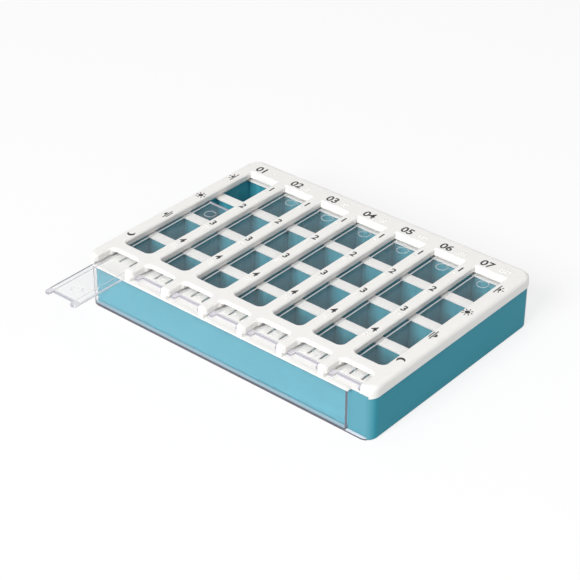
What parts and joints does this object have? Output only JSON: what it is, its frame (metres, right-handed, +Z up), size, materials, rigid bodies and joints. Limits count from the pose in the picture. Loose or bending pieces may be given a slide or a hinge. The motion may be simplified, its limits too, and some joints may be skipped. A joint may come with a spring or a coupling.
{
  "type": "weekly pill organizer",
  "caption": "Flat weekly pill organizer: a tray of square compartments under a slotted cover, with clear lids that slide out of the front and a clear label window.",
  "frame": {"origin": "middle of the tray's flat underside, the face that the organizer rests on", "axes": "+X along the days from first to last, +Y to the back, lids come out towards -Y, +Z up"},
  "size_m": [0.1846, 0.1659, 0.0304],
  "materials": {
    "teal_plastic": "moulded satin teal plastic",
    "white_plastic": "moulded satin white plastic",
    "clear_plastic": "clear polished plastic",
    "mark_ink": "printed dark marks on the cover"
  },
  "bodies": {
    "base": {"tray": "teal_plastic", "divider_grid": "white_plastic", "top_cover": "white_plastic"},
    "lid_day_1": {"lid_day_1": "clear_plastic"},
    "lid_day_2": {"lid_day_2": "clear_plastic"},
    "lid_day_3": {"lid_day_3": "clear_plastic"},
    "lid_day_4": {"lid_day_4": "clear_plastic"},
    "lid_day_5": {"lid_day_5": "clear_plastic"},
    "lid_day_6": {"lid_day_6": "clear_plastic"},
    "lid_day_7": {"lid_day_7": "clear_plastic"},
    "window": {"label_window": "clear_plastic"}
  },
  "joints": [
    {"name": "lid_day_1_slide", "type": "slide", "parent": "base", "child": "lid_day_1", "axis": [0, -1, 0], "range_m": [-0.0372, 0.0628]},
    {"name": "lid_day_2_slide", "type": "slide", "parent": "base", "child": "lid_day_2", "axis": [0, -1, 0], "range_m": [0, 0.1]},
    {"name": "lid_day_3_slide", "type": "slide", "parent": "base", "child": "lid_day_3", "axis": [0, -1, 0], "range_m": [0, 0.1]},
    {"name": "lid_day_4_slide", "type": "slide", "parent": "base", "child": "lid_day_4", "axis": [0, -1, 0], "range_m": [0, 0.1]},
    {"name": "lid_day_5_slide", "type": "slide", "parent": "base", "child": "lid_day_5", "axis": [0, -1, 0], "range_m": [0, 0.1]},
    {"name": "lid_day_6_slide", "type": "slide", "parent": "base", "child": "lid_day_6", "axis": [0, -1, 0], "range_m": [0, 0.1]},
    {"name": "lid_day_7_slide", "type": "slide", "parent": "base", "child": "lid_day_7", "axis": [0, -1, 0], "range_m": [0, 0.1]},
    {"name": "label_window_slide", "type": "slide", "parent": "base", "child": "window", "axis": [-1, 0, 0], "range_m": [0, 0.15]}
  ]
}
